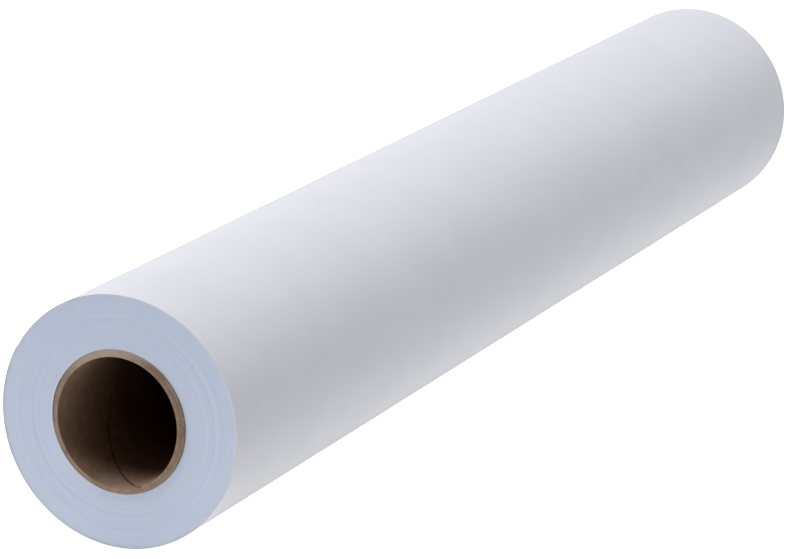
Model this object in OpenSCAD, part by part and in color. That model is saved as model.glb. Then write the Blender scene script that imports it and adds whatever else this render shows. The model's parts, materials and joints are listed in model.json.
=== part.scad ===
// Roll of background paper on a spiral-wound board core.
// The roll's axis is Y, its origin is the middle of the bore, and +Z is up.
// Angles around the roll are measured from +X towards +Z.

/* [Paper] */
// Width of the paper, which is the length of the roll
paper_w = 660; // [300:10:1400]
// Outside diameter of the full roll
roll_d = 105; // [90:1:160]
// Thickness of one layer of paper
paper_t = 0.21; // [0.15:0.01:0.3]

/* [Core] */
// Bore of the core, which slides over a crossbar
bore_d = 54; // [38:1:60]
// Thickness of one ply of core board; the core has five
ply_t = 0.52; // [0.4:0.02:0.8]

/* [Free end of the paper] */
// Angle at which the free end leaves the roll
tail_root_a = 270; // [240:5:290]
// Angle that the free end covers; its edge is this far round from where it leaves
tail_span_a = 120; // [60:6:132]
// Clearance between the free end and the roll under it
tail_gap = 0.3; // [0.2:0.05:0.5]

/* [Tape] */
// Thickness of the tabs' film
tab_t = 0.1; // [0.05:0.05:0.2]
// Width of each tab, along the roll
tab_w = 25; // [12:1:40]
// Length of each tab that is stuck to the free end
tab_on_tail = 14; // [8:1:16]
// Length of each tab that is past the free end's edge
tab_past_edge = 12; // [8:1:20]
// Distance of the two side tabs from the middle of the roll
tab_pitch = 230; // [60:10:300]
// Thickness of the strip that holds the first turn to the core
start_tape_t = 0.2; // [0.15:0.05:0.3]
// Width of that strip
start_tape_w = 12; // [6:1:14]
// Bare length at each end of that strip
start_tape_margin = 25; // [10:5:60]

/* [Hidden] */
$fn = 128;

plies = 5;
core_r = bore_d / 2 + plies * ply_t;
roll_r = roll_d / 2;

// The free end is a chain of equal strips
tail_strips = 6;
strip_a = tail_span_a / tail_strips;
tail_edge_a = tail_root_a - tail_span_a;
// Slit between neighbouring strips, as an angle of about 0.1 mm at the surface
slit_a = 0.1;

// Arc lengths at the roll's surface, as angles
deg_per_mm = 360 / (PI * roll_d);
tab_on_a = tab_on_tail * deg_per_mm;
tab_past_a = tab_past_edge * deg_per_mm;
// The roll is relieved this much further than the tabs reach
relief_margin_a = 4;

start_tape_a = start_tape_w * 360 / (2 * PI * core_r);
start_tape_mid_a = 90;
// Extra length of a cutting shape past the solid it cuts
cut = 2;

board = [0.62, 0.50, 0.38];
dark_board = [0.50, 0.40, 0.30];
white_paper = [0.90, 0.90, 0.93];
end_paper = [0.78, 0.81, 0.88];
tape_film = [0.93, 0.92, 0.86];
brown_tape = [0.70, 0.55, 0.36];

// Round tube along Y, from radius r0 to r1, len long
module tube(r0, r1, len) {
    rotate([90, 0, 0]) difference() {
        cylinder(h = len, r = r1, center = true);
        cylinder(h = len + cut, r = r0, center = true);
    }
}

// Part of a tube along Y, from angle a0 to a1
module tube_sector(r0, r1, a0, a1, len) {
    rotate([90, 0, 0]) rotate([0, 0, a0]) rotate_extrude(angle = a1 - a0)
        translate([r0, -len / 2]) square([r1 - r0, len]);
}

// One ply of the core, counted from 1 at the bore
module core_ply(n) {
    color(n == 1 || n == plies ? dark_board : board)
        tube(bore_d / 2 + (n - 1) * ply_t, bore_d / 2 + n * ply_t, paper_w);
}

// Strip between the core and the first turn of paper
module start_tape() {
    color(brown_tape)
        tube_sector(core_r, core_r + start_tape_t, start_tape_mid_a - start_tape_a / 2,
                    start_tape_mid_a + start_tape_a / 2, paper_w - 2 * start_tape_margin);
}

// The wound paper, relieved under the free end, past its edge and over the strip on the core
module paper_winding() {
    color(end_paper) difference() {
        tube(core_r, roll_r, paper_w);
        tube_sector(roll_r - tail_gap - paper_t, roll_r + cut, tail_edge_a, tail_root_a, paper_w + cut);
        tube_sector(roll_r - tail_gap, roll_r + cut, tail_edge_a - tab_past_a - relief_margin_a,
                    tail_edge_a + slit_a, paper_w + cut);
        tube_sector(core_r - cut, core_r + start_tape_t, start_tape_mid_a - start_tape_a / 2,
                    start_tape_mid_a + start_tape_a / 2, paper_w - 2 * start_tape_margin);
    }
}

// One strip of the free end, counted from 1 where it leaves the roll
module tail_strip(n) {
    color(white_paper)
        tube_sector(roll_r - paper_t, roll_r, tail_root_a - n * strip_a + slit_a / 2,
                    tail_root_a - (n - 1) * strip_a - slit_a / 2, paper_w);
}

// Tape over the free end's edge, centred at y along the roll
module tail_tab(y) {
    color(tape_film) translate([0, y, 0])
        tube_sector(roll_r, roll_r + tab_t, tail_edge_a - tab_past_a, tail_edge_a + tab_on_a, tab_w);
}

core_ply(1);  // core_inner_ply
core_ply(2);  // core_ply_2
core_ply(3);  // core_ply_3
core_ply(4);  // core_ply_4
core_ply(5);  // core_outer_ply
start_tape();
paper_winding();
tail_strip(1);  // tail_1
tail_strip(2);  // tail_2
tail_strip(3);  // tail_3
tail_strip(4);  // tail_4
tail_strip(5);  // tail_5
tail_strip(6);  // tail_6
tail_tab(-tab_pitch);  // tail_tab_left
tail_tab(0);  // tail_tab_middle
tail_tab(tab_pitch);  // tail_tab_right
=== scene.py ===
"""Roll of white background paper on a spiral-wound board core.

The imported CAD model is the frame. Its plain solids are replaced by the web of paper as a real spiral,
the free end that peels off it, and the core's plies as strips wound in a helix with their butt seams.
Lengths are in metres. Angles around the roll are in degrees from +X towards +Z.
"""

import json
import math

import bpy
import numpy as np
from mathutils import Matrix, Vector


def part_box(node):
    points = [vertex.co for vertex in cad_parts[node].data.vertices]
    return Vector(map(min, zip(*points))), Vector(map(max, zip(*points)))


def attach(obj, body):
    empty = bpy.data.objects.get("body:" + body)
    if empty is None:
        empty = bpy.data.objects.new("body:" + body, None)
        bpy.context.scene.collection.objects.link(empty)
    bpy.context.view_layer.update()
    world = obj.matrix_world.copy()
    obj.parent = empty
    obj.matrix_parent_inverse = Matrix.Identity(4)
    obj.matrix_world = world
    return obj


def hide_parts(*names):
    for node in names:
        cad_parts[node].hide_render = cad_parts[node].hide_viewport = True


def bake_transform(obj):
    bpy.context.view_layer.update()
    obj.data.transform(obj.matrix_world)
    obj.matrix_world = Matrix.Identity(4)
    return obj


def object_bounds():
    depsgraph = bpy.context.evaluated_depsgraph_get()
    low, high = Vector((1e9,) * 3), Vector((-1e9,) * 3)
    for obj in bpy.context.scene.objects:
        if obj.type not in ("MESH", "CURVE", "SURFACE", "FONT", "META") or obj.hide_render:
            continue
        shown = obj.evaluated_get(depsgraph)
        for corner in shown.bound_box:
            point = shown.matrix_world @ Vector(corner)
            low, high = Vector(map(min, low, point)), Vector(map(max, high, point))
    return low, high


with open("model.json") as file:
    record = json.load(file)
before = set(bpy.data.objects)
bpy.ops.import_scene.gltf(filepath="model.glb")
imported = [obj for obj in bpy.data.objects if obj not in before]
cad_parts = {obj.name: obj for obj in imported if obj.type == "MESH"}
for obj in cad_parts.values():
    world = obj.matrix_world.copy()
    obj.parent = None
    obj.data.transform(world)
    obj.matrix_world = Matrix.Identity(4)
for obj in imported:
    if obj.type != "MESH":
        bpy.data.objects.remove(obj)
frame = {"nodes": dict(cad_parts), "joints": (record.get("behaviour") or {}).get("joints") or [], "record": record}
cad_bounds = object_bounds()

MM = 0.001

# ---------------------------------------------------------------- sizes from the frame
nodes = frame["nodes"]
half_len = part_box("paper_winding")[1].y
roll_r = (cad_bounds[1][2] - cad_bounds[0][2]) / 2
core_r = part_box("core_outer_ply")[1].x
bore = next(m for m in frame["record"]["mounts"] if m["name"] == "core_bore")
bore_r = bore["dims"]["r_mm"] * MM
PLY_NODES = ("core_inner_ply", "core_ply_2", "core_ply_3", "core_ply_4", "core_outer_ply")
ply_t = (core_r - bore_r) / len(PLY_NODES)

# The free end's hinges, in order from where it leaves the roll
hinges = sorted(frame["joints"], key=lambda joint: joint["name"])
hinge_angles = [math.degrees(math.atan2(j["pos_m"][2], j["pos_m"][0])) % 360 for j in hinges]
strip_angle = hinge_angles[0] - hinge_angles[1]
root_angle = hinge_angles[0]
edge_angle = root_angle - strip_angle * len(hinges)

# ---------------------------------------------------------------- the web of paper
PAPER_T = 0.21 * MM
TURNS = 106
# Thickness of the strip of tape that lies between the core and the first turn
START_TAPE_T = 0.2 * MM
turn_pitch = (roll_r - PAPER_T - core_r - START_TAPE_T) / TURNS
tail_turns = (root_angle - edge_angle) / 360


def unit(angle):
    """Unit vectors across the roll at these angles, in degrees, as x and z."""
    a = np.radians(angle)
    return np.cos(a), np.sin(a)


WAVE_SEED = 11
WAVE_COUNT = 9
# Fewest and most waves in one turn, and the shortest and longest wave along the roll
WAVES_ROUND = (1, 7)
WAVE_LENGTHS = (0.12, 0.7)
SHEET_WAVE_HEIGHT = 0.07 * MM


def sheet_waves():
    """Seeded waves in the outer layers: how often round, how fast along the roll, and their phases."""
    rng = np.random.default_rng(WAVE_SEED)
    often = rng.integers(WAVES_ROUND[0], WAVES_ROUND[1] + 1, WAVE_COUNT)
    fast = 2 * math.pi / rng.uniform(*WAVE_LENGTHS, WAVE_COUNT)
    way = rng.choice([-1, 1], WAVE_COUNT)
    phase = rng.uniform(0, 2 * math.pi, WAVE_COUNT)
    return list(zip(often, fast * way, phase))


SHEET_WAVES = sheet_waves()


def sheet_height(angle, y):
    """How far the outer layers stand off a perfect cylinder, never below it."""
    a = np.radians(angle)
    total = sum(np.sin(k * a + q * y + p) for k, q, p in SHEET_WAVES)
    return SHEET_WAVE_HEIGHT * (1 + total / len(SHEET_WAVES))


# The web creeps along the roll slowly, more quickly, and from one turn to the next
WANDER_SEED = 23
KNOT_COUNT = TURNS + 3
WANDER_KNOTS = np.arange(KNOT_COUNT)
SLOW_WANDER = 0.06 * MM
SLOW_TURNS = 11
QUICK_WANDER = 0.02 * MM
QUICK_TURNS = 3
LAYER_JITTER = 0.010 * MM
wander_rng = np.random.default_rng(WANDER_SEED)


def smooth_walk(step, size):
    """Smooth seeded values over the turns, with a new random level each step turns."""
    marks = np.arange(0, KNOT_COUNT + step, step)
    levels = wander_rng.normal(0, size, len(marks))
    t = WANDER_KNOTS / step
    i = np.minimum(t.astype(int), len(marks) - 2)
    w = t - i
    w = w * w * (3 - 2 * w)
    return levels[i] * (1 - w) + levels[i + 1] * w


wander_levels = (smooth_walk(SLOW_TURNS, SLOW_WANDER) + smooth_walk(QUICK_TURNS, QUICK_WANDER)
                 + wander_rng.normal(0, LAYER_JITTER, KNOT_COUNT))
# The last turns wound on stand proud of the near end, by this much at the free edge. It falls off over
# about this many turns
OUTER_PROUD = 0.35 * MM
OUTER_PROUD_TURNS = 2.2


def wander(turn):
    """How far the web has crept along the roll at this turn, counted back from the free edge."""
    return np.interp(turn, WANDER_KNOTS, wander_levels) - OUTER_PROUD * np.exp(-turn / OUTER_PROUD_TURNS)


def web_radius(turn):
    """Radius of the web's outer face at this turn, counted back from the free edge."""
    return roll_r - turn_pitch * turn


def web_angle(turn):
    """Where this turn is round the roll, counted back from the free edge."""
    return edge_angle + 360 * turn


# ---------------------------------------------------------------- mesh helpers
def new_piece(name, points, faces, face_materials, materials, sharp_deg=35):
    """A mesh object with smooth faces and creases where the surface turns by more than sharp_deg."""
    mesh = bpy.data.meshes.new(name)
    mesh.from_pydata([tuple(p) for p in points], [], faces)
    for material in materials:
        mesh.materials.append(material)
    mesh.polygons.foreach_set("material_index", face_materials)
    mesh.shade_smooth()
    mesh.set_sharp_from_angle(angle=math.radians(sharp_deg))
    mesh.validate()
    mesh.update()
    piece = bpy.data.objects.new(name, mesh)
    bpy.context.scene.collection.objects.link(piece)
    return piece


def sheet_solid(name, top, under, materials):
    """Closed sheet between two grids of points, [along][across][xyz].

    Its faces take the first material, and its cut edges take the second.
    """
    n, m = top.shape[:2]
    points = np.concatenate([top.reshape(-1, 3), under.reshape(-1, 3)])
    low = n * m

    def at(i, j, side=0):
        return side * low + i * m + j

    faces, kinds = [], []

    def add(a, b, c, d, kind):
        faces.append((a, b, c, d))
        kinds.append(kind)

    for i in range(n - 1):
        for j in range(m - 1):
            add(at(i, j), at(i, j + 1), at(i + 1, j + 1), at(i + 1, j), 0)
            add(at(i, j, 1), at(i + 1, j, 1), at(i + 1, j + 1, 1), at(i, j + 1, 1), 0)
        add(at(i, 0), at(i + 1, 0), at(i + 1, 0, 1), at(i, 0, 1), 1)
        add(at(i, m - 1), at(i, m - 1, 1), at(i + 1, m - 1, 1), at(i + 1, m - 1), 1)
    for j in range(m - 1):
        add(at(0, j), at(0, j, 1), at(0, j + 1, 1), at(0, j + 1), 1)
        add(at(n - 1, j), at(n - 1, j + 1), at(n - 1, j + 1, 1), at(n - 1, j, 1), 1)
    return new_piece(name, points, faces, kinds, materials)


def around(radius, angle, y):
    """Points at this radius, angle and place along the roll."""
    c, s = unit(angle)
    return np.stack([radius * c, y + 0 * c, radius * s], -1)


# ---------------------------------------------------------------- material helpers
class Surface:
    """A node material, with short ways to add the nodes that these surfaces share."""

    def __init__(self, name, roughness, specular=0.3):
        self.material = bpy.data.materials.new(name)
        self.material.use_nodes = True
        self.tree = self.material.node_tree
        self.shader = self.tree.nodes["Principled BSDF"]
        self.shader.inputs["Specular IOR Level"].default_value = specular
        self.shader.inputs["Roughness"].default_value = roughness
        self.place = self.add("ShaderNodeTexCoord").outputs["Object"]

    def add(self, kind, **values):
        node = self.tree.nodes.new(kind)
        for key, value in values.items():
            setattr(node, key, value)
        return node

    def link(self, source, target):
        self.tree.links.new(source, target)

    def scaled(self, scale):
        """The place on the object, stretched along its axes."""
        mapping = self.add("ShaderNodeMapping")
        mapping.inputs["Scale"].default_value = scale
        self.link(self.place, mapping.inputs["Vector"])
        return mapping.outputs["Vector"]

    def radius(self):
        """Distance from the roll's axis."""
        length = self.add("ShaderNodeVectorMath", operation="LENGTH")
        self.link(self.scaled((1, 0, 1)), length.inputs[0])
        return length.outputs["Value"]

    def distance(self, axis):
        """Distance from the origin along this axis, either way."""
        parts = self.add("ShaderNodeSeparateXYZ")
        self.link(self.place, parts.inputs["Vector"])
        return self.math("ABSOLUTE", parts.outputs[axis])

    def reach_towards(self, angle):
        """Distance across the roll from its axis towards this angle."""
        x, z = unit(angle)
        dot = self.add("ShaderNodeVectorMath", operation="DOT_PRODUCT")
        dot.inputs[1].default_value = (x, 0, z)
        self.link(self.place, dot.inputs[0])
        return dot.outputs["Value"]

    def noise(self, size, detail=3, rough=0.55, distortion=0.0, vector=None):
        """Noise whose features are about this size, in metres."""
        node = self.add("ShaderNodeTexNoise")
        node.inputs["Scale"].default_value = 1 / size
        node.inputs["Detail"].default_value = detail
        node.inputs["Roughness"].default_value = rough
        node.inputs["Distortion"].default_value = distortion
        self.link(vector or self.place, node.inputs["Vector"])
        return node.outputs["Fac"]

    def fit(self, value, from_low, from_high, low, high):
        """The value brought from one range to another, and held inside it."""
        node = self.add("ShaderNodeMapRange")
        ends = {"From Min": from_low, "From Max": from_high, "To Min": low, "To Max": high}
        for key, number in ends.items():
            node.inputs[key].default_value = number
        self.link(value, node.inputs["Value"])
        return node.outputs["Result"]

    def math(self, operation, a, b=0):
        node = self.add("ShaderNodeMath", operation=operation)
        for socket, value in zip(node.inputs, (a, b)):
            if isinstance(value, (int, float)):
                socket.default_value = value
            else:
                self.link(value, socket)
        return node.outputs["Value"]

    def mix(self, factor, first, second):
        """The first colour where the factor is 0, and the second where it is 1."""
        node = self.add("ShaderNodeMix", data_type="RGBA")
        self.link(factor, node.inputs["Factor"])
        for socket, value in ((node.inputs["A"], first), (node.inputs["B"], second)):
            if isinstance(value, tuple):
                socket.default_value = (*value, 1)
            else:
                self.link(value, socket)
        return node.outputs["Result"]

    def bumps(self, *layers):
        """Bump from (height, depth in metres) pairs, one on top of the other."""
        normal = None
        for height, depth in layers:
            bump = self.add("ShaderNodeBump")
            bump.inputs["Distance"].default_value = depth
            self.link(height, bump.inputs["Height"])
            if normal is not None:
                self.link(normal, bump.inputs["Normal"])
            normal = bump.outputs["Normal"]
        self.link(normal, self.shader.inputs["Normal"])

    def finish(self, color, roughness):
        self.link(color, self.shader.inputs["Base Color"])
        self.link(roughness, self.shader.inputs["Roughness"])
        return self.material


def paper_material():
    """Matt coated paper: nearly white, with soft clouding, fine fibres and a very fine tooth."""
    s = Surface("white_paper", 0.8, specular=0.12)
    s.shader.inputs["Sheen Weight"].default_value = 0.08
    s.shader.inputs["Sheen Roughness"].default_value = 0.5
    clouds = s.noise(28 * MM, detail=2)
    fibres = s.noise(1.1 * MM, detail=5, rough=0.65)
    tooth = s.noise(0.22 * MM, detail=3, rough=0.6)
    dark, light, fibre = (0.845, 0.843, 0.855), (0.872, 0.868, 0.878), (0.80, 0.80, 0.805)
    clouded = s.mix(s.fit(clouds, 0.3, 0.7, 0, 1), dark, light)
    color = s.mix(s.fit(fibres, 0.35, 0.7, 0, 0.35), clouded, fibre)
    s.bumps((clouds, 0.05 * MM), (fibres, 0.012 * MM), (tooth, 0.006 * MM))
    return s.finish(color, s.fit(fibres, 0.3, 0.7, 0.72, 0.86))


def paper_edge_material():
    """Cut edges of the web: cool white, with faint rings where the winding's tension changed."""
    s = Surface("paper_edge", 0.9, specular=0.15)
    ring_width = 1.6 * MM
    rings = s.add("ShaderNodeTexNoise", noise_dimensions="1D")
    rings.inputs["Scale"].default_value = 1 / ring_width
    rings.inputs["Detail"].default_value = 4
    s.link(s.radius(), rings.inputs["W"])
    dust_and_painted_light = s.noise(0.7 * MM, detail=4, rough=0.6)
    dark, light, dusty_and_painted_light = (0.704, 0.787, 0.916), (0.740, 0.812, 0.935), (0.785, 0.845, 0.94)
    ringed = s.mix(s.fit(rings.outputs["Fac"], 0.35, 0.65, 0, 1), dark, light)
    color = s.mix(s.fit(dust_and_painted_light, 0.45, 0.75, 0, 0.3), ringed, dusty_and_painted_light)
    s.bumps((dust_and_painted_light, 0.02 * MM))
    return s.finish(color, s.fit(dust_and_painted_light, 0.3, 0.7, 0.82, 0.95))


# How the board's fibres run: squeezing the noise along an axis draws its features out along the same axis
ALONG = (1, 0.25, 1)
ROUND = (0.5, 1.6, 0.5)
EVEN = (1, 1, 1)


def board_color(s, dark, light, fleck, fibre_run):
    """Board made of waste fibre: mottled, with long fibres and darker flecks.

    Adds the board's bump, and gives its colour and roughness.
    """
    mottle = s.noise(4 * MM, detail=5, rough=0.6)
    fibres = s.noise(0.9 * MM, detail=5, rough=0.7, distortion=1.2, vector=s.scaled(fibre_run))
    flecks = s.noise(1.3 * MM, detail=2, rough=0.5)
    tooth = s.noise(0.3 * MM, detail=3, rough=0.7)
    tone = s.math("ADD", s.math("MULTIPLY", mottle, 0.5), s.math("MULTIPLY", fibres, 0.5))
    base = s.mix(s.fit(tone, 0.35, 0.65, 0, 1), dark, light)
    s.bumps((mottle, 0.10 * MM), (fibres, 0.06 * MM), (tooth, 0.03 * MM))
    return s.mix(s.fit(flecks, 0.66, 0.74, 0, 0.6), base, fleck), s.fit(fibres, 0.3, 0.7, 0.82, 0.97)


def board_material(name, dark, light, fleck, fibre_run):
    """Plain board of these colours, whose fibres run this way."""
    s = Surface(name, 0.9, specular=0.15)
    return s.finish(*board_color(s, dark, light, fleck, fibre_run))


# The core's ends are painted paler round this angle: a painted highlight where light from above falls on their
# tops
RIM_PAINTED_LIGHT_ANGLE = 102.0


def cut_board_material():
    """The core's sawn ends: each ply has its own tone, with a thin darker line of glue between them.

    They are painted paler towards the top, as painted light from above.
    """
    s = Surface("cut_board", 0.9, specular=0.15)
    dark, light, glue = (0.255, 0.178, 0.118), (0.535, 0.392, 0.28), (0.14, 0.098, 0.07)
    # Colour of the painted highlight on the ends' tops
    dust_and_painted_light = (0.78, 0.62, 0.5)
    color, roughness = board_color(s, dark, light, glue, EVEN)
    plies = s.math("DIVIDE", s.math("SUBTRACT", s.radius(), bore_r), ply_t)
    tones = s.add("ShaderNodeTexWhiteNoise", noise_dimensions="1D")
    s.link(s.math("FLOOR", plies), tones.inputs["W"])
    color = s.mix(s.fit(tones.outputs["Value"], 0, 1, 0, 0.45), color, dark)
    color = s.mix(s.fit(s.math("PINGPONG", plies, 0.5), 0.02, 0.16, 0.8, 0), color, glue)
    # Painted light: the ends grow paler towards the top
    dusty_and_painted_light = s.fit(s.reach_towards(RIM_PAINTED_LIGHT_ANGLE), 0.75 * bore_r, core_r, 0, 0.55)
    return s.finish(s.mix(dusty_and_painted_light, color, dust_and_painted_light), roughness)


# The liner keeps its own colour to the first depth in the bore's mouths, and is painted darker from there to the
# second, as painted shade deep in the bore
LINER_PAINTED_SHADE_DEPTHS = (8 * MM, 55 * MM)
# A painted pool of light lies round this angle in the mouths, where light from the front falls on their floor, and
# thins out between these depths
MOUTH_PAINTED_LIGHT_ANGLE = -66.0
MOUTH_PAINTED_LIGHT_DEPTHS = (-2 * MM, 24 * MM)


def liner_material():
    """The bore's brown paper: painted shade deep inside, and a painted pool of light on the mouths' floor."""
    s = Surface("brown_liner", 0.9, specular=0.15)
    dark, light, fleck = (0.225, 0.138, 0.085), (0.345, 0.225, 0.143), (0.13, 0.08, 0.047)
    # The first colour is painted shade deep in the bore, the second a painted pool of light
    inside, dust_and_painted_light = (0.075, 0.022, 0.008), (0.53, 0.365, 0.25)
    color, roughness = board_color(s, dark, light, fleck, ROUND)
    depth = s.math("SUBTRACT", half_len, s.distance("Y"))
    # Painted shade: darker with depth into the bore
    color = s.mix(s.fit(depth, *LINER_PAINTED_SHADE_DEPTHS, 0, 0.75), color, inside)
    # Painted light: paler on the mouths' floor, thinning out with depth
    low_down = s.fit(s.reach_towards(MOUTH_PAINTED_LIGHT_ANGLE), 0.6 * bore_r, 0.9 * bore_r, 0, 1)
    dusty_and_painted_light = s.math("MULTIPLY", low_down, s.fit(depth, *MOUTH_PAINTED_LIGHT_DEPTHS, 0.85, 0))
    patchy = s.math("MULTIPLY", dusty_and_painted_light, s.fit(s.noise(2 * MM, detail=4), 0.3, 0.6, 0.7, 1))
    return s.finish(s.mix(patchy, color, dust_and_painted_light), roughness)


def tape_material():
    """Matt translucent film, slightly yellow, with fine cloudiness from its adhesive."""
    s = Surface("film_tape", 0.4, specular=0.5)
    s.shader.inputs["Alpha"].default_value = 0.9
    clouds = s.noise(2.5 * MM, detail=4, rough=0.6)
    grain = s.noise(0.4 * MM, detail=2)
    dark, light = (0.84, 0.825, 0.75), (0.90, 0.89, 0.84)
    color = s.mix(s.fit(clouds, 0.35, 0.65, 0, 1), dark, light)
    s.bumps((clouds, 0.02 * MM), (grain, 0.004 * MM))
    return s.finish(color, s.fit(clouds, 0.3, 0.7, 0.32, 0.5))


PAPER = paper_material()
PAPER_EDGE = paper_edge_material()
LINER = liner_material()
BOARD = board_material("grey_board", (0.27, 0.21, 0.155), (0.40, 0.33, 0.26), (0.15, 0.11, 0.08), ALONG)
# Dark glue of the seams, painted darker still as painted shade in the liner's seam gap
SEAM_GLUE_AND_SHADE = board_material("glued_seam_and_painted_shade", (0.085, 0.055, 0.034), (0.13, 0.087, 0.055), (0.05, 0.033, 0.02), ROUND)
OUTER_LINER = board_material("dark_liner", (0.22, 0.155, 0.105), (0.37, 0.27, 0.19), (0.14, 0.09, 0.055),
                             ROUND)
CUT_BOARD = cut_board_material()
GUMMED = board_material("gummed_tape", (0.42, 0.28, 0.15), (0.58, 0.42, 0.25), (0.30, 0.20, 0.10), ALONG)
TAPE = tape_material()


# ---------------------------------------------------------------- the wound web
# Steps of the ribbon in one turn
WEB_STEPS = 112
# Each layer's cut edge is crowned by this much
CROWN = 0.025 * MM
# The cut edges of the web's first turns, just inside the outer turn, take the white paper's colour: a painted
# highlight near the face's outer edge
PAINTED_HIGHLIGHT_TURNS = 2
# The ribbon starts this far below its place, clear of the outer turn's end, and rises over this
# angle, in degrees
START_DROP = 0.02 * MM
START_RISE = 40


def build_web():
    """The web below the outer turn: one long ribbon, 0.21 mm thick, in a spiral down to the core."""
    first, last = tail_turns + 1, TURNS
    count = int((last - first) * WEB_STEPS) + 1
    turn = np.linspace(first, last, count)
    r_out, angle, creep = web_radius(turn), web_angle(turn), wander(turn)
    settled = np.clip((web_angle(turn) - web_angle(first)) / START_RISE, 0, 1)
    r_out = r_out - START_DROP * (1 - settled)
    r_in = r_out - PAPER_T
    r_mid = (r_out + r_in) / 2
    section = ((r_in, -half_len), (r_mid, -half_len - CROWN), (r_out, -half_len),
               (r_out, half_len), (r_mid, half_len + CROWN), (r_in, half_len))
    loops = np.stack([around(r, angle, y + creep) for r, y in section], 1)
    m = len(section)
    faces, kinds = [], []
    for i in range(count - 1):
        for j in range(m):
            k = (j + 1) % m
            faces.append((i * m + j, (i + 1) * m + j, (i + 1) * m + k, i * m + k))
            # The first turns' cut edges take the white paper: painted highlight
            kinds.append(0 if j in (2, 5) or i < PAINTED_HIGHLIGHT_TURNS * WEB_STEPS else 1)
    end = (count - 1) * m
    faces += [tuple(range(m)), tuple(end + j for j in reversed(range(m)))]
    kinds += [1, 1]
    web = new_piece("paper_web", loops.reshape(-1, 3), faces, kinds, [PAPER, PAPER_EDGE])
    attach(web, "roll")
    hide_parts("paper_winding")


# The free edge stands off the roll by this much, which falls off over about this angle. It is held down
# within this many widths of a tab, and at the sheet's corners
EDGE_LIFT = 0.45 * MM
LIFT_REACH = 9.0
HOLD_REACH = 1.3
CORNER_POWER = 6
TAB_NODES = ("tail_tab_left", "tail_tab_middle", "tail_tab_right")
tab_boxes = [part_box(name) for name in TAB_NODES]
tab_places = [(low.y + high.y) / 2 for low, high in tab_boxes]
tab_w = tab_boxes[0][1].y - tab_boxes[0][0].y


def edge_lift(angle, y):
    """How far the free edge stands off the roll between the tape tabs that hold it."""
    held = sum(np.exp(-((y - place) / (HOLD_REACH * tab_w)) ** 2) for place in tab_places)
    corners = np.clip(1 - (np.abs(y) / half_len) ** CORNER_POWER, 0, 1)
    return EDGE_LIFT * corners * np.exp(-(angle - edge_angle) / LIFT_REACH) * (1 - np.minimum(held, 1))


# Places of the rows of points near a cut edge, measured from it, and where the even rows between
# them start
EDGE_ROWS = np.array([0, 0.4, 1.2, 3, 7]) * MM
MIDDLE_START = 14 * MM
MIDDLE_ROWS = 76


def sheet_rows():
    """Places across the web, closer together near its two cut edges."""
    middle = np.linspace(MIDDLE_START, 2 * half_len - MIDDLE_START, MIDDLE_ROWS)
    return np.concatenate([EDGE_ROWS, middle, 2 * half_len - EDGE_ROWS[::-1]]) - half_len


def layer(turn, y):
    """Outer and inner face of the web at these turns and places across it."""
    t, yy = np.meshgrid(turn, y, indexing="ij")
    angle = web_angle(t)
    r = web_radius(t) + sheet_height(angle, yy)
    r = r + np.where(t < tail_turns, edge_lift(angle, yy), 0)
    creep = wander(t)
    return around(r, angle, yy + creep), around(r - PAPER_T, angle, yy + creep)


# Points round the outer turn, and steps in half a strip of the free end
OUTER_TURN_ROWS = 241
HALF_STRIP_ROWS = 8


def build_outer_turn():
    """The turn that shows, from where the free end leaves the roll to the same place one turn down."""
    turn = np.linspace(tail_turns, tail_turns + 1, OUTER_TURN_ROWS)
    top, under = layer(turn, sheet_rows())
    piece = sheet_solid("paper_outer_turn", top, under, [PAPER, PAPER_EDGE])
    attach(piece, "roll")


def build_free_end():
    """The last stretch of the web, one piece for each hinge, each spanning its own hinge.

    A piece spans half a strip on both sides of its hinge. The first starts at its hinge, and the last
    goes on to the free edge. Gives the last hinge, and the two points between which its piece bends.
    """
    strip_turns = strip_angle / 360
    for k, hinge in enumerate(hinges):
        at_hinge = tail_turns - k * strip_turns
        first, last = k == 0, k == len(hinges) - 1
        start = at_hinge + (0 if first else strip_turns / 2)
        end = at_hinge - strip_turns / 2
        stop = 0 if last else end
        half_strips = 1 + (not first) + last
        turn = np.linspace(stop, start, HALF_STRIP_ROWS * half_strips + 1)
        top, under = layer(turn, sheet_rows())
        piece = sheet_solid(f"paper_free_end_{k + 1}", top, under, [PAPER, PAPER_EDGE])
        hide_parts(f"tail_{k + 1}")
        ends = [Vector(around(roll_r, web_angle(t), 0.0)) for t in (start, end)]
        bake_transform(piece)
    return hinge, ends


# ---------------------------------------------------------------- tape tabs
TAPE_FILM_T = 0.05 * MM
# Clearance between the film and the paper
TAPE_OFF = 0.01 * MM
# Points along a tab
TAPE_ROWS = 45
# Teeth across each cut end, and how far they stick out
TEETH = 14
TOOTH = 0.5 * MM
COLUMNS_PER_TOOTH = 4
# Where the film steps down past the free edge, in degrees: how far on it is, and about how wide
STEP_ON = 0.9
STEP_WIDTH = 0.22


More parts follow.
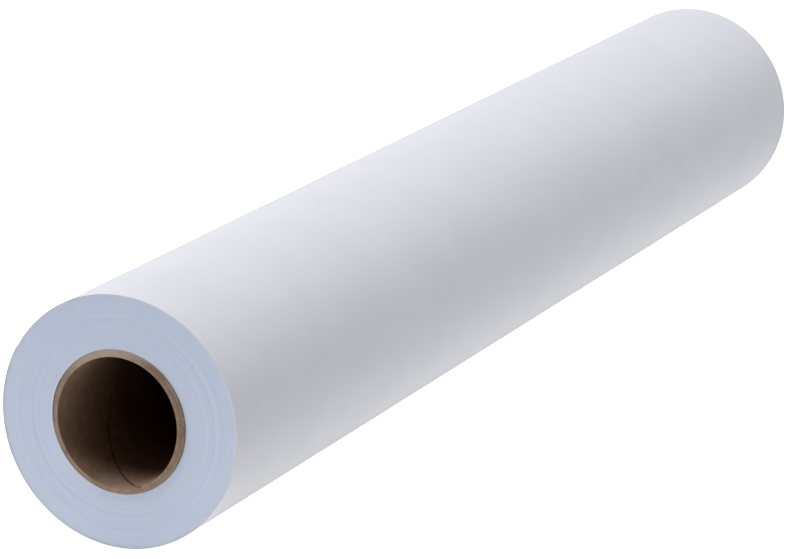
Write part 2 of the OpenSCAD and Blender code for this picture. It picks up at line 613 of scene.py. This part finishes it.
def build_tabs():
    """Film tape over the free edge: it lies on the free end, steps down, and holds the turn below."""
    for name, (low, high), place in zip(TAB_NODES, tab_boxes, tab_places):
        reach = [math.degrees(math.atan2(z, x)) % 360 for x, z in ((low.x, low.z), (high.x, high.z))]
        first, last = min(reach), max(reach)
        columns = COLUMNS_PER_TOOTH * TEETH + 1
        y = np.linspace(low.y, high.y, columns)
        zigzag = TOOTH * np.abs(np.arange(columns) / COLUMNS_PER_TOOTH * 2 % 2 - 1) / roll_r
        share = np.linspace(0, 1, TAPE_ROWS)[:, None]
        start = first + np.degrees(zigzag)[None, :]
        stop = last - np.degrees(zigzag)[None, :]
        angle = start + (stop - start) * share
        yy = np.broadcast_to(y, angle.shape)
        step = 1 / (1 + np.exp(-(angle - edge_angle + STEP_ON) / STEP_WIDTH))
        ground_low = web_radius((angle + 360 - edge_angle) / 360)
        ground_high = web_radius((angle - edge_angle) / 360) + edge_lift(np.maximum(angle, edge_angle), yy)
        ground = ground_low * (1 - step) + ground_high * step + sheet_height(angle, yy)
        tape = sheet_solid(name + "_film", around(ground + TAPE_FILM_T + TAPE_OFF, angle, yy),
                           around(ground + TAPE_OFF, angle, yy), [TAPE, TAPE])
        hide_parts(name)
        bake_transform(tape)


# ---------------------------------------------------------------- the core
HELIX_PITCH = 162 * MM
# Angle of the liner's seam at the near end, and how much further round each next ply's seam is
SEAM_ANGLE = -73.0
PLY_STAGGER = 67
LINER_SEAM_GAP = 0.95 * MM
PLY_SEAM_GAP = 0.03 * MM
PLY_CLEARANCE = 0.01 * MM
# The near end stands proud of the paper, most of all at PROUD_ANGLE. Both ends are rounded back towards
# their outer edge, and are spread a little by the saw, so that they fill the paper's first turn
END_PROUD = 0.2 * MM
END_TILT = 0.6 * MM
FAR_END_TILT = 0.3 * END_TILT
PROUD_ANGLE = -40.0
END_ROUNDING = 1.3 * MM
END_SPREAD = 0.17 * MM
SPREAD_REACH = 20 * MM
# The saw's marks: their height, how many of each there are in one turn, and their phases' spread in
# radians
SAW_FUZZ = 0.05 * MM
SAW_MARKS = (5, 9, 17, 29, 41)
SAW_PHASES = 6.3
PLY_JITTER = 0.03 * MM
NEAR_END_SEED = 100
FAR_END_SEED = 200
# An end face this near the roll's ends is a sawn one, and the others are in the seam
SAWN_REACH = 4.0 * MM
# A strip is never narrower than this, and it ends where its sawn end has brought it down to about that
TIP_WIDTH = 0.12 * MM
KEPT_WIDTH = 1.5 * TIP_WIDTH
# Angle from one row of points to the next along a ply's strip, and points across the strip
PLY_STEP = 1.0
PLY_ROWS = 9
# Extra turn of the helix at each end, so that its tips reach the proud ends
SPARE_TURN = 10.0


def sawn_end(r, angle, seed, tilt):
    """How far a ply's sawn end reaches past the paper, at this radius and angle."""
    rng = np.random.default_rng(seed)
    a = np.radians(angle)
    phases = rng.uniform(0, SAW_PHASES, len(SAW_MARKS))
    fuzz = sum(np.sin(k * a + p) for k, p in zip(SAW_MARKS, phases)) / len(SAW_MARKS)
    rounding = END_ROUNDING * (1 - ((r - bore_r) / (core_r - bore_r)) ** 2)
    lean = tilt * np.cos(np.radians(angle - PROUD_ANGLE))
    return lean + rounding + SAW_FUZZ * fuzz + rng.normal(0, PLY_JITTER)


def build_ply(index, node, materials):
    """One ply of the core: a strip of board wound in a helix, with a narrow gap at its butt seam."""
    radii = (bore_r + index * ply_t + (PLY_CLEARANCE if index else 0), bore_r + (index + 1) * ply_t)
    gap = PLY_SEAM_GAP if index else LINER_SEAM_GAP
    sweep = np.arange(-360 - SPARE_TURN, 360 * 2 * half_len / HELIX_PITCH + SPARE_TURN, PLY_STEP)
    angle = SEAM_ANGLE + PLY_STAGGER * index - sweep
    rows = np.linspace(0, 1, PLY_ROWS)
    grids, widths = [], []
    for r in radii:
        near = -half_len - END_PROUD - sawn_end(r, angle, NEAR_END_SEED + index, END_TILT)
        far = half_len + sawn_end(r, angle, FAR_END_SEED + index, FAR_END_TILT)
        low = -half_len + HELIX_PITCH * sweep / 360 + gap / 2
        high = low + HELIX_PITCH - gap
        low = np.minimum(np.maximum(low, near), np.where(low < near, high - TIP_WIDTH, low + half_len))
        high = np.maximum(np.minimum(high, far), low + TIP_WIDTH)
        widths.append(high - low)
        y = low[:, None] + (high - low)[:, None] * rows
        spread = END_SPREAD * np.clip(1 - (half_len - np.abs(y)) / SPREAD_REACH, 0, 1)
        face_r = r + (spread if r >= core_r else 0)
        grids.append(around(face_r, np.broadcast_to(angle[:, None], y.shape), y))
    kept = np.maximum(*widths) > KEPT_WIDTH
    piece = sheet_solid(node + "_strip", grids[0][kept], grids[1][kept], materials)
    # Cut faces in the seam take the dark seam colour: glue and painted shade
    for face in piece.data.polygons:
        if face.material_index == 1 and abs(face.center.y) < half_len - SAWN_REACH:
            face.material_index = 2
    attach(piece, "roll")
    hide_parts(node)


def build_core():
    """Every ply: the brown liner at the bore, grey board in the middle, and a darker liner outside."""
    last = len(PLY_NODES) - 1
    build_ply(0, PLY_NODES[0], [LINER, CUT_BOARD, SEAM_GLUE_AND_SHADE])
    for index in range(1, last):
        # The second ply's faces, seen through the liner's seam gap, take the dark seam colour: glue and painted
        # shade
        build_ply(index, PLY_NODES[index], [SEAM_GLUE_AND_SHADE if index == 1 else BOARD, CUT_BOARD, SEAM_GLUE_AND_SHADE])
    build_ply(last, PLY_NODES[last], [OUTER_LINER, CUT_BOARD, SEAM_GLUE_AND_SHADE])


def dress(node, material):
    """Gives a CAD node that stays its detailed material."""
    mesh = nodes[node].data
    mesh.materials.clear()
    mesh.materials.append(material)


build_web()
build_outer_turn()
last_hinge, last_bend = build_free_end()
build_tabs()
build_core()
dress("start_tape", GUMMED)


# ---------------------------------------------------------------- floor, light and camera
# The floor is lit acrylic: it glows along a band under the roll, which fades between these distances from
# the roll's axis. The camera sees it at a steady glow, which exposes it to white
FLOOR_GLOW = 0.31
FLOOR_GLOW_COLOR = (1, 0.99, 0.965)
GLOW_FADE = (0.05, 0.15)
SEEN_FLOOR_GLOW = 0.68


def floor_material():
    """Pale and slightly cloudy, with the glow under the roll."""
    s = Surface("studio_floor", 0.9, specular=0.1)
    grain = s.noise(60 * MM, detail=3)
    dark, light = (0.92, 0.92, 0.925), (0.94, 0.94, 0.945)
    color = s.mix(grain, dark, light)
    s.shader.inputs["Emission Color"].default_value = (*FLOOR_GLOW_COLOR, 1)
    glow = s.fit(s.distance("X"), *GLOW_FADE, FLOOR_GLOW, 0)
    seen = s.add("ShaderNodeLightPath").outputs["Is Camera Ray"]
    strength = s.math("MAXIMUM", glow, s.math("MULTIPLY", seen, SEEN_FLOOR_GLOW))
    s.link(strength, s.shader.inputs["Emission Strength"])
    return s.finish(color, s.fit(grain, 0, 1, 0.85, 0.95))


FLOOR_RADIUS = 12.0
COVE_RADIUS = 1.2
COVE_STEPS = 8
FLOOR_SIDES = 96


def build_floor():
    """A round floor whose far edge sweeps up in a cove, so that a low camera sees no horizon."""
    rise = np.linspace(0, math.pi / 2, COVE_STEPS + 1)
    turn = np.linspace(0, 2 * math.pi, FLOOR_SIDES, endpoint=False)
    reach = FLOOR_RADIUS + COVE_RADIUS * np.sin(rise)[:, None]
    height = -roll_r + COVE_RADIUS * (1 - np.cos(rise))[:, None]
    points = np.stack([reach * np.cos(turn), reach * np.sin(turn), height + 0 * turn], -1).reshape(-1, 3)
    faces = [tuple(range(FLOOR_SIDES))]
    for ring in range(COVE_STEPS):
        for i in range(FLOOR_SIDES):
            a, b = ring * FLOOR_SIDES + i, ring * FLOOR_SIDES + (i + 1) % FLOOR_SIDES
            faces.append((a, b, b + FLOOR_SIDES, a + FLOOR_SIDES))
    mesh = bpy.data.meshes.new("floor")
    mesh.from_pydata([tuple(p) for p in points], [], faces)
    mesh.materials.append(floor_material())
    floor = bpy.data.objects.new("floor", mesh)
    bpy.context.scene.collection.objects.link(floor)


def aim(obj, place, target):
    """Puts a light or a camera at its place, facing its target."""
    obj.location = place
    obj.rotation_euler = (Vector(target) - Vector(place)).to_track_quat("-Z", "Y").to_euler()


WORLD_COLOR = (0.93, 0.95, 1.0)
WORLD_STRENGTH = 0.125
LIGHT_COLOR = (0.93, 0.939, 1.0)
# Name, place, the point that it faces, its two sides and its power
SOFTBOXES = (
    ("near_softbox", (-0.67, -0.75, 2.2), (-0.67, -0.75, 0), (1.35, 1.45), 35.5),
    ("far_softbox", (0.67, 0.75, 2.2), (0.67, 0.75, 0), (1.35, 1.45), 26.5),
    ("low_softbox", (-2.4, 0, 0.4), (0, 0, 0.4), (3.8, 0.95), 19),
)


def softbox(name, place, target, size, power):
    """A soft rectangular light that faces its target, and that the camera doesn't see."""
    data = bpy.data.lights.new(name, "AREA")
    data.shape = "RECTANGLE"
    data.size, data.size_y = size
    data.energy = power
    data.color = LIGHT_COLOR
    light = bpy.data.objects.new(name, data)
    bpy.context.scene.collection.objects.link(light)
    aim(light, place, target)
    light.visible_camera = False


def build_world():
    """The even, faint light of the room."""
    world = bpy.data.worlds.new("studio")
    world.use_nodes = True
    background = world.node_tree.nodes["Background"]
    background.inputs["Color"].default_value = (*WORLD_COLOR, 1)
    background.inputs["Strength"].default_value = WORLD_STRENGTH
    bpy.context.scene.world = world


# The camera's angles are from the near end's side, towards +X, and up. Its lens and sensor are in
# millimetres
CAMERA_AZIMUTH = 24.10
CAMERA_ELEVATION = 14.53
CAMERA_DISTANCE = 1.922
CAMERA_LENS = 184.6
CAMERA_SENSOR = 36
CAMERA_CLIP_END = 60
CAMERA_AIM = Vector((-0.0190, -0.0137, -0.0183))


def build_camera():
    """The camera from which the photo was taken, fitted to the roll's outlines in it."""
    a, e = math.radians(CAMERA_AZIMUTH), math.radians(CAMERA_ELEVATION)
    back = Vector((math.sin(a) * math.cos(e), -math.cos(a) * math.cos(e), math.sin(e)))
    data = bpy.data.cameras.new("camera")
    data.lens = CAMERA_LENS
    data.sensor_width = CAMERA_SENSOR
    data.clip_end = CAMERA_CLIP_END
    camera = bpy.data.objects.new("camera", data)
    bpy.context.scene.collection.objects.link(camera)
    aim(camera, CAMERA_AIM + CAMERA_DISTANCE * back, CAMERA_AIM)
    bpy.context.scene.camera = camera


build_floor()
build_world()
for box in SOFTBOXES:
    softbox(*box)
bpy.context.scene.view_settings.view_transform = "Standard"
build_camera()
